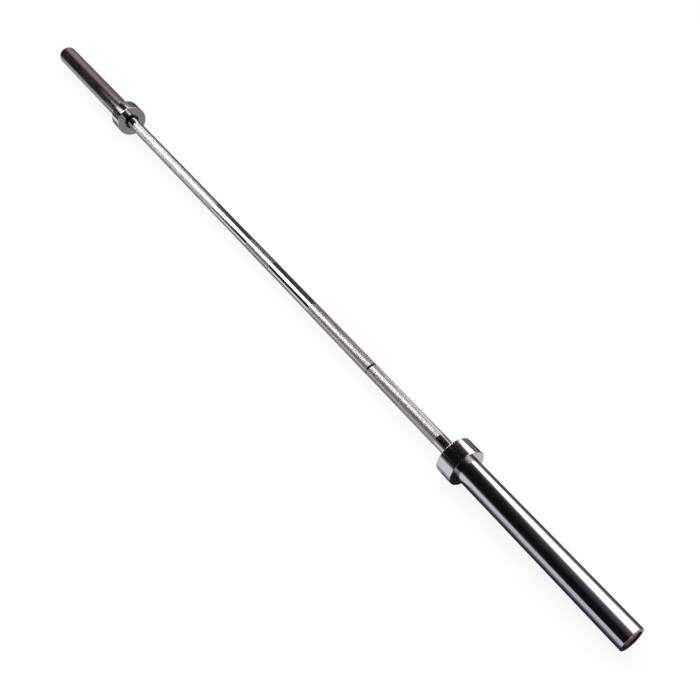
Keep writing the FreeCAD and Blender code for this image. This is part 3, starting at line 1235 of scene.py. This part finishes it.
@dataclass(frozen=True)
class Card:
    """A card that only polished metal sees: a soft box if it glows, a flag if it is dark."""

    name: str
    corners: tuple[Point, Point, Point, Point]
    glow: Colour
    fades: Fades | None = None
    steps: int = 8

    @classmethod
    def level(cls, name: str, plan: Plan, height: float, glow: Colour, fades: Fades | None = None) -> "Card":
        """Lay a card level, with its corners on the floor plan from the front left one round."""
        first, second, third, fourth = ((*spot, height) for spot in plan)
        return cls(name, (first, second, third, fourth), glow, fades)

    @classmethod
    def lying(cls, name: str, ends: Pair, sides: Pair, height: float, glow: Colour,
              fades: Fades | None = None) -> "Card":
        """Lay a card with square corners level.

        Args:
            name: The card's name.
            ends: Where it starts and ends along the bar.
            sides: Its front and its back across the bar.
            height: Its height.
            glow: Its colour.
            fades: Its fades, with the lower edge at the front.

        Returns:
            The card.
        """
        (start, end), (front, back) = ends, sides
        plan = ((start, front), (end, front), (end, back), (start, back))
        return cls.level(name, plan, height, glow, fades)

    @classmethod
    def upright(cls, name: str, start: Pair, end: Pair, heights: Pair, glow: Colour,
                fades: Fades | None = None) -> "Card":
        """Stand a card between two places on the floor plan.

        Args:
            name: The card's name.
            start: The place of its left edge.
            end: The place of its right edge.
            heights: The heights of its foot and its top.
            glow: Its colour.
            fades: Its fades.

        Returns:
            The card.
        """
        low, top = heights
        return cls(name, ((*start, low), (*end, low), (*end, top), (*start, top)), glow, fades)

    @classmethod
    def leaning(cls, name: str, lower: Edge, upper: Edge, glow: Colour, fades: Fades) -> "Card":
        """Lean a card from its lower edge to its upper one."""
        return cls(name, (*lower.corners(), *reversed(upper.corners())), glow, fades)

    def surface(self) -> tuple[Surface, FloatArray]:
        """The card as a grid.

        A point at the shares u and v is the mean of the four corners weighed by (1 - u)(1 - v), u(1 - v), uv
        and (1 - u)v.

        Returns:
            The surface, and the shares u and v of each of its points.
        """
        share = np.linspace(0.0, 1.0, self.steps + 1)
        flat = np.stack(np.meshgrid(share, share), axis=-1)
        across, up = flat[..., 0], flat[..., 1]
        lower = [(1 - across) * (1 - up), across * (1 - up)]
        upper = [across * up, (1 - across) * up]
        points = np.stack(lower + upper, axis=-1).reshape(-1, 4) @ np.array(self.corners)
        number = np.arange(len(points)).reshape(across.shape)
        quads = np.stack([number[:-1, :-1], number[:-1, 1:], number[1:, 1:], number[1:, :-1]], axis=-1)
        return Surface(points, quads.reshape(-1, 4), NO_TRIANGLES), flat.reshape(-1, 2)

    def build(self) -> bpy.types.Object:
        """Make the card and keep it out of every view and every light but reflections.

        Returns:
            The card's object.
        """
        surface, flat = self.surface()
        item = surface.to_object(self.name)
        places = flat[surface.quads.ravel()].ravel()
        item.data.uv_layers.new(name="card").data.foreach_set("uv", places)
        material = bpy.data.materials.new(self.name)
        sheet = blank_sheet(material)
        light = sheet.add("ShaderNodeEmission", {"Color": (*self.glow, 1.0), "Strength": 1.0}).outputs[0]
        if self.fades is not None:
            clear = sheet.add("ShaderNodeBsdfTransparent").outputs[0]
            feeds = {0: self.fades.cover(sheet), 1: clear, 2: light}
            light = sheet.add("ShaderNodeMixShader", feeds).outputs[0]
        sheet.add("ShaderNodeOutputMaterial", {"Surface": light})
        item.data.materials.append(material)
        item.visible_camera = False
        item.visible_diffuse = False
        item.visible_shadow = False
        item.visible_transmission = False
        item.visible_volume_scatter = False
        return item


@dataclass(frozen=True)
class DarkRoom:
    """The dark room that the chrome sees: walls and a top, with stretches that turn paler to one side."""

    floor_level: float
    left: float = -4.5
    right: float = 3.0
    front: float = -2.6
    back: float = 1.6
    top: float = 2.6
    gap: float = 0.01
    brown_top_end: float = -1.0
    brown_top_front: float = 0.3
    far_wall_end: float = -1.9
    left_wall_front: float = -0.5
    glow_ends: Pair = (-1.5, -0.7)
    glow_top: float = 1.7
    skirt_ends: Pair = (-3.5, 0.6)
    skirt_top: float = 1.0
    dark: Colour = (0.011, 0.007, 0.01)
    dim: Colour = (0.03, 0.022, 0.03)
    brown_top: Colour = (0.09, 0.04, 0.042)
    brown_back: Colour = (0.115, 0.072, 0.08)
    brown_far: Colour = (0.38, 0.27, 0.265)
    tan: Colour = (0.42, 0.315, 0.305)
    grey_glow: Colour = (0.5, 0.48, 0.52)
    pale_skirt: Colour = (0.85, 0.8, 0.86)

    def cards(self) -> list[Card]:
        """The room's cards.

        Returns:
            The walls and the top, and a small gap in front of them their paler stretches.
        """
        low = self.floor_level
        heights = (low, self.top)
        ends, sides = (self.left, self.right), (self.front, self.back)
        front_left, front_right = (self.left, self.front), (self.right, self.front)
        back_left, back_right = (self.left, self.back), (self.right, self.back)
        brown_ends, brown_sides = (self.left, self.brown_top_end), (self.brown_top_front, self.back)
        beside, behind, before = self.left + self.gap, self.back - self.gap, self.front + self.gap
        left_start, left_end = (beside, self.left_wall_front), (beside, self.back)
        far_start, far_end = (self.left, behind), (self.far_wall_end, behind)
        glow_start, glow_end = ((place, before) for place in self.glow_ends)
        skirt_start, skirt_end = ((place, before + self.gap) for place in self.skirt_ends)
        return [
            Card.upright("flag_front", front_left, front_right, heights, self.dark),
            Card.lying("flag_top", ends, sides, self.top, self.dark),
            Card.lying("wall_top", brown_ends, brown_sides, self.top - self.gap, self.brown_top),
            Card.upright("wall_back", back_left, back_right, heights, self.brown_back),
            Card.upright("flag_left", front_left, back_left, heights, self.dim),
            Card.upright("wall_right", front_right, back_right, heights, self.dim),
            Card.upright("wall_back_far", far_start, far_end, heights, self.brown_far,
                         Fades(right=0.9, power=1.2)),
            Card.upright("wall_left", left_start, left_end, heights, self.tan,
                         Fades(left=0.6, power=1.2)),
            Card.upright("front_glow", glow_start, glow_end, (low, self.glow_top), self.grey_glow,
                         Fades(left=0.3, right=0.15, upper=0.4, power=1.2)),
            Card.upright("front_skirt", skirt_start, skirt_end, (low, self.skirt_top), self.pale_skirt,
                         Fades(left=0.15, right=0.25, upper=1.0, power=2.5)),
        ]


@dataclass(frozen=True)
class FloorSheets:
    """The floor as the chrome sees it, with the bar's shadow painted in: dark under the bar and behind it,
    paler in front of it.

    The sheets lie on one another, a thin layer apart.
    """

    room: DarkRoom
    collar_place: float
    tip_place: float
    layer: float = 0.3 * MILLIMETRE
    under: Pair = (-0.045, 0.012)
    far_end: float = -0.48
    far_margin: float = 0.3
    far_lap: float = 0.1
    far_fronts: Pair = (-0.17, -0.32)
    collar_gap: float = 0.04
    collar_lap: float = 0.035
    collar_start: float = 0.4
    collar_front: float = -0.8
    behind_far: float = 0.1
    behind_middle: float = 0.03
    behind_near: float = 0.08
    knurl_ends: Pair = (0.32, 0.52)
    knurl_back: float = 0.9
    near_start: float = 0.1
    near_back: float = -0.035
    middle_end: float = 0.6
    middle_back: float = -0.03
    tip_length: float = 0.05
    tip_front: float = 0.008
    tip_back: float = 0.08
    tip_shade_front: float = -0.06
    shadow_grey: Colour = (0.45, 0.42, 0.44)
    grey_far: Colour = (0.56, 0.53, 0.57)
    grey_front: Colour = (0.84, 0.85, 0.92)
    grey_beside: Colour = (1.05, 1.02, 1.06)
    pale_front: Colour = (1.4, 1.3, 1.36)
    warm_floor: Colour = (0.9, 0.82, 0.74)

    def behind_cards(self, low: float, mid: float) -> list[Card]:
        """The sheets under the bar and behind it.

        Args:
            low: The height of the lowest sheets.
            mid: The height of those that lie on them.

        Returns:
            A dark sheet, the painted shadow under and in front of the bar, and over and beside it the brown
            and the grey ones; the grey ones paint a lighter shadow close to the bar.
        """
        room, brown = self.room, self.room.brown_back
        near = self.collar_place - self.collar_gap
        far_ends, beside = (room.left, self.far_end), self.under[1]
        knurl_sides = (self.behind_middle, self.knurl_back)
        return [
            # Painted shadow: the dark sheet under and in front of the bar.
            Card.lying("floor_shade", (room.left, room.right), (room.front, beside), low, room.dim),
            Card.lying("floor_behind_far", far_ends, (self.behind_far, room.back), low, brown),
            Card.lying("floor_behind_middle", (self.far_end, near), (self.behind_middle, room.back), low,
                       brown),
            Card.lying("floor_behind_near", (near, room.right), (self.behind_near, room.back), low, brown),
            Card.lying("floor_behind_knurl", self.knurl_ends, knurl_sides, mid, self.warm_floor,
                       Fades(left=0.5, right=0.1, upper=0.5)),
            # Painted shade: grey sheets beside and under the bar.
            Card.lying("floor_beside_far", far_ends, (beside, self.behind_far), low, self.shadow_grey),
            Card.lying("floor_under_middle", (room.left, self.collar_place), self.under, mid,
                       self.shadow_grey),
        ]

    def front_cards(self, mid: float, high: float, over: float) -> list[Card]:
        """The paler sheets in front of the bar, which fade to the dark sheet near it as painted shadow, and
        beyond its near tip the painted shadow of its end.

        Args:
            mid: The height of the lowest of them.
            high: The height of those that lie on them.
            over: The height of the topmost.

        Returns:
            The sheets from the far end to the tip.
        """
        room, far = self.room, -self.collar_place - self.far_margin
        lap, back = far + self.far_lap, self.middle_back
        far_plan = (room.left, self.far_fronts[0]), (lap, self.far_fronts[1]), (lap, back), (room.left, back)
        collar_ends = (self.collar_start, self.collar_place + self.collar_lap)
        tip_ends = (self.tip_place, self.tip_place + self.tip_length)
        return [
            Card.level("floor_front_far", far_plan, mid, self.grey_far, Fades(lower=0.9)),
            Card.lying("floor_front_near", (self.near_start, room.right), (room.front, self.near_back), mid,
                       self.grey_front, Fades(upper=0.03)),
            Card.lying("floor_front_middle", (far, self.middle_end), (room.front, back), high,
                       self.pale_front, Fades(left=0.075, right=0.2, upper=0.035)),
            Card.lying("floor_front_collar", collar_ends, (self.collar_front, self.near_back), over,
                       self.grey_beside, Fades(left=0.5, lower=0.4, upper=0.06, power=1.2)),
            # Painted shadow of the bar's near end on the floor: dark, with a grey sheet over it behind the
            # end.
            Card.lying("floor_tip_shade", tip_ends, (self.tip_shade_front, self.tip_back), high, room.dim),
            Card.lying("floor_tip", tip_ends, (self.tip_front, self.tip_back), over, self.shadow_grey,
                       Fades(lower=0.4)),
        ]

    def cards(self) -> list[Card]:
        """All the sheets, in four layers over the floor."""
        low, mid, high, over = (self.room.floor_level + count * self.layer for count in (1, 2, 3, 4))
        return self.behind_cards(low, mid) + self.front_cards(mid, high, over)


@dataclass(frozen=True)
class SoftBoxes:
    """The soft boxes. Each one fades at its edges.

    The key box behind the near end has two leaves, with a warm skirt below them, a halo behind them and a
    veil beside their top. Level boxes hang over the middle and the far end, a small step apart. Two more
    stand: one behind the middle and one in front of the far end.
    """

    floor_level: float
    key_low: Edge = Edge(start=-0.03, end=1.8, across=1.18, up=0.43)
    key_turn: Edge = Edge(start=-0.06, end=1.8, across=0.87, up=1.05)
    key_high: Edge = Edge(start=-0.06, end=1.8, across=0.15, up=2.5)
    halo_low: Edge = Edge(start=-0.6, end=1.8, across=1.2, up=0.45)
    halo_high: Edge = Edge(start=-0.6, end=1.8, across=0.17, up=2.52)
    skirt_ends: Pair = (-0.6, 1.7)
    skirt_across: float = 1.2
    veil_ends: Pair = (-0.5, 1.8)
    veil_sides: Pair = (-2.5, 0.15)
    hang: float = 1.5
    hang_step: float = 0.01
    fill_plan: Plan = ((-3.1, -1.3), (-0.92, -1.15), (-0.92, 0.12), (-1.9, 0.27))
    far_plan: Plan = ((-3.35, -1.9), (-2.5, -1.9), (-2.0, 0.05), (-2.35, 0.05))
    far_low_plan: Plan = ((-4.1, -1.9), (-2.5, -1.9), (-1.95, 0.3), (-2.2, 0.3))
    far_back_plan: Plan = ((-2.8, 0.3), (-2.15, 0.3), (-2.35, 1.6), (-3.5, 1.6))
    strip_plan: Plan = ((-0.42, -0.65), (-0.17, -0.65), (-0.28, 1.2), (-0.56, 1.2))
    middle_ends: Pair = (-0.98, -0.57)
    middle_sides: Pair = (-0.65, 0.4)
    far_front_ends: Pair = (-4.2, -3.15)
    far_front_across: float = -2.57
    far_front_top: float = 1.7
    side_ends: Pair = (-0.43, 0.02)
    side_across: float = 1.15
    side_top: float = 1.0
    warm_skirt: Colour = (0.62, 0.48, 0.43)
    halo_grey: Colour = (0.3, 0.3, 0.34)
    veil_grey: Colour = (0.26, 0.25, 0.28)
    key_white: Colour = (4.0, 3.95, 3.8)
    fill_white: Colour = (7.5, 7.2, 6.6)
    far_white: Colour = (9.0, 8.7, 8.3)
    far_low_white: Colour = (2.0, 1.93, 1.85)
    far_back_white: Colour = (6.0, 5.8, 5.5)
    far_front_white: Colour = (4.6, 4.55, 4.5)
    side_white: Colour = (2.4, 2.28, 2.15)
    middle_white: Colour = (1.1, 1.02, 0.93)
    strip_white: Colour = (11.5, 11.0, 9.9)

    def key_cards(self) -> list[Card]:
        """The key box and what belongs to it.

        Returns:
            The skirt, the halo, the two leaves of the box and the veil.
        """
        skirt_low = Edge(*self.skirt_ends, self.skirt_across, self.floor_level)
        skirt_high = Edge(*self.skirt_ends, self.key_low.across, self.key_low.up)
        return [
            Card.leaning("soft_box_skirt", skirt_low, skirt_high, self.warm_skirt,
                         Fades(left=0.7, lower=0.4, power=1.2)),
            Card.leaning("soft_box_halo", self.halo_low, self.halo_high, self.halo_grey,
                         Fades(left=0.6, lower=0.3)),
            Card.leaning("soft_box_right", self.key_low, self.key_turn, self.key_white,
                         Fades(left=0.08, right=0.35, lower=0.08, power=3.0)),
            Card.leaning("soft_box_above", self.key_turn, self.key_high, self.key_white,
                         Fades(left=0.08, right=0.35, widening=0.75, power=3.0)),
            Card.lying("soft_box_veil", self.veil_ends, self.veil_sides, self.key_high.up, self.veil_grey,
                       Fades(left=0.6, lower=0.95)),
        ]

    def other_cards(self) -> list[Card]:
        """The boxes over and beside the middle and the far end.

        Returns:
            The fill box, the four far boxes, the side box, the middle box and the strip.
        """
        heights = (self.hang + count * self.hang_step for count in range(-2, 4))
        strip, middle, fill, far, far_low, far_back = heights
        front_start, front_end = ((place, self.far_front_across) for place in self.far_front_ends)
        side_start, side_end = ((place, self.side_across) for place in self.side_ends)
        front_heights = (self.floor_level, self.far_front_top)
        side_heights = (self.floor_level, self.side_top)
        return [
            Card.level("soft_box_left", self.fill_plan, fill, self.fill_white,
                       Fades(left=0.08, right=0.04, lower=0.1, upper=0.06)),
            Card.level("soft_box_far", self.far_plan, far, self.far_white,
                       Fades(left=0.25, right=0.15, lower=0.05, upper=0.15)),
            Card.level("soft_box_far_low", self.far_low_plan, far_low, self.far_low_white,
                       Fades(left=0.05, right=0.1, lower=0.05, upper=0.1)),
            Card.level("soft_box_far_back", self.far_back_plan, far_back, self.far_back_white,
                       Fades(left=0.1, right=0.5, lower=0.15, upper=0.15, power=1.2)),
            Card.upright("soft_box_far_front", front_start, front_end, front_heights, self.far_front_white,
                         Fades(left=0.05, right=0.3, upper=0.6, power=1.2)),
            Card.upright("soft_box_side", side_start, side_end, side_heights, self.side_white,
                         Fades(left=0.7, right=0.18, upper=0.25, power=1.1)),
            Card.lying("soft_box_middle", self.middle_ends, self.middle_sides, middle, self.middle_white,
                       Fades(left=0.1, right=0.2, lower=0.3, upper=0.3)),
            Card.level("soft_box_strip", self.strip_plan, strip, self.strip_white,
                       Fades(left=0.3, right=0.2, lower=0.15, upper=0.45)),
        ]

    def cards(self) -> list[Card]:
        """All the soft boxes."""
        return self.key_cards() + self.other_cards()


@dataclass(frozen=True)
class Studio:
    """The pale floor, the light and the camera."""

    floor_level: float
    floor_reach: float = 40.0
    floor_colour: Colour = (0.9, 0.9, 0.9)
    floor_glow: float = 0.86
    white: Colour = (1.0, 1.0, 1.0)
    world_level: float = 0.86
    lamp_side: float = 3.0
    lamp_height: float = 2.4
    lamp_power: float = 34.0
    camera_place: Point = (1.3878, -0.7191, 1.2939)
    camera_aim: Point = (0.2388, 0.0726, -0.1389)
    camera_lens: float = 46.66

    def build_floor(self) -> None:
        """Make the floor: a wide square under the lowest point of the bar.

        Seen directly or in metal, part of its light is a plain white of its own, so that it stays white and
        the bar's shadow on it soft.
        """
        reach, level = self.floor_reach, self.floor_level
        plan = np.array([(-reach, -reach), (reach, -reach), (reach, reach), (-reach, reach)])
        corners = np.column_stack([plan, np.full(len(plan), level)])
        floor = Surface(corners, np.arange(4).reshape(1, 4), NO_TRIANGLES).to_object("floor", smooth=False)
        material = bpy.data.materials.new("floor_paper")
        sheet = blank_sheet(material)
        paper = sheet.add("ShaderNodeBsdfDiffuse", {"Color": (*self.floor_colour, 1.0)})
        white = sheet.add("ShaderNodeEmission", {"Color": (*self.white, 1.0), "Strength": 1.0})
        share = sheet.math("MULTIPLY", self.seen(sheet), self.floor_glow)
        surface = sheet.add("ShaderNodeMixShader", {0: share, 1: paper.outputs[0], 2: white.outputs[0]})
        sheet.add("ShaderNodeOutputMaterial", {"Surface": surface.outputs[0]})
        floor.data.materials.append(material)

    def seen(self, sheet: NodeSheet) -> bpy.types.NodeSocket:
        """Tell what the camera sees, directly, in metal or through glass, from what only gives light.

        Args:
            sheet: The sheet of the material or the world.

        Returns:
            1 for what is seen, and 0 for the rest.
        """
        path = sheet.add("ShaderNodeLightPath").outputs
        direct = sheet.math("MAXIMUM", path["Is Camera Ray"], path["Is Glossy Ray"])
        return sheet.math("MAXIMUM", direct, path["Is Transmission Ray"])

    def build_light(self) -> None:
        """Light the bar with a pale world and one wide lamp overhead."""
        scene = bpy.context.scene
        scene.view_settings.view_transform = "Standard"
        scene.world = bpy.data.worlds.new("studio")
        sheet = blank_sheet(scene.world)
        strength = sheet.span(self.seen(sheet), 0.0, 1.0, self.world_level, 1.0)
        sky = sheet.add("ShaderNodeBackground", {"Color": (*self.white, 1.0), "Strength": strength})
        sheet.add("ShaderNodeOutputWorld", {"Surface": sky.outputs[0]})

        data = bpy.data.lights.new("overhead", "AREA")
        data.shape = "SQUARE"
        data.size = self.lamp_side
        data.energy = self.lamp_power
        lamp = bpy.data.objects.new("overhead", data)
        lamp.location = (0.0, 0.0, self.lamp_height)
        lamp.visible_glossy = False
        scene.collection.objects.link(lamp)

    def stand_cards(self, cards: list[Card]) -> None:
        """Stand the cards round the bar."""
        for card in cards:
            card.build()

    def build_camera(self) -> None:
        """Stand the camera where the bar fills the square picture from corner to corner."""
        data = bpy.data.cameras.new("camera")
        data.sensor_width = SENSOR_WIDTH
        data.lens = self.camera_lens
        camera = bpy.data.objects.new("camera", data)
        camera.location = self.camera_place
        way = Vector(self.camera_aim) - Vector(self.camera_place)
        camera.rotation_euler = way.to_track_quat("-Z", "Y").to_euler()
        bpy.context.scene.collection.objects.link(camera)
        bpy.context.scene.camera = camera


def main() -> None:
    """Build the bar, piece by piece, and the studio round it."""
    logging.basicConfig(level=logging.INFO, format="%(name)s: %(message)s")
    shaft = Shaft.from_frame()
    coats = Coats.make(shaft.ring_mark, shaft.ring_mark_width)
    shaft.build(coats.shaft_chrome)
    for side in Side:
        SleeveUnit.from_frame(side).build(coats)
    Retainers().build(coats)

    collar, tube = Extent.of("right_collar"), Extent.of("right_sleeve")
    studio = Studio(floor_level=-collar.radius)
    room = DarkRoom(studio.floor_level)
    sheets = FloorSheets(room, collar_place=collar.near, tip_place=tube.far)
    boxes = SoftBoxes(studio.floor_level)
    studio.build_floor()
    studio.build_light()
    studio.stand_cards(room.cards() + sheets.cards() + boxes.cards())
    studio.build_camera()


if __name__ == "__main__":
    main()
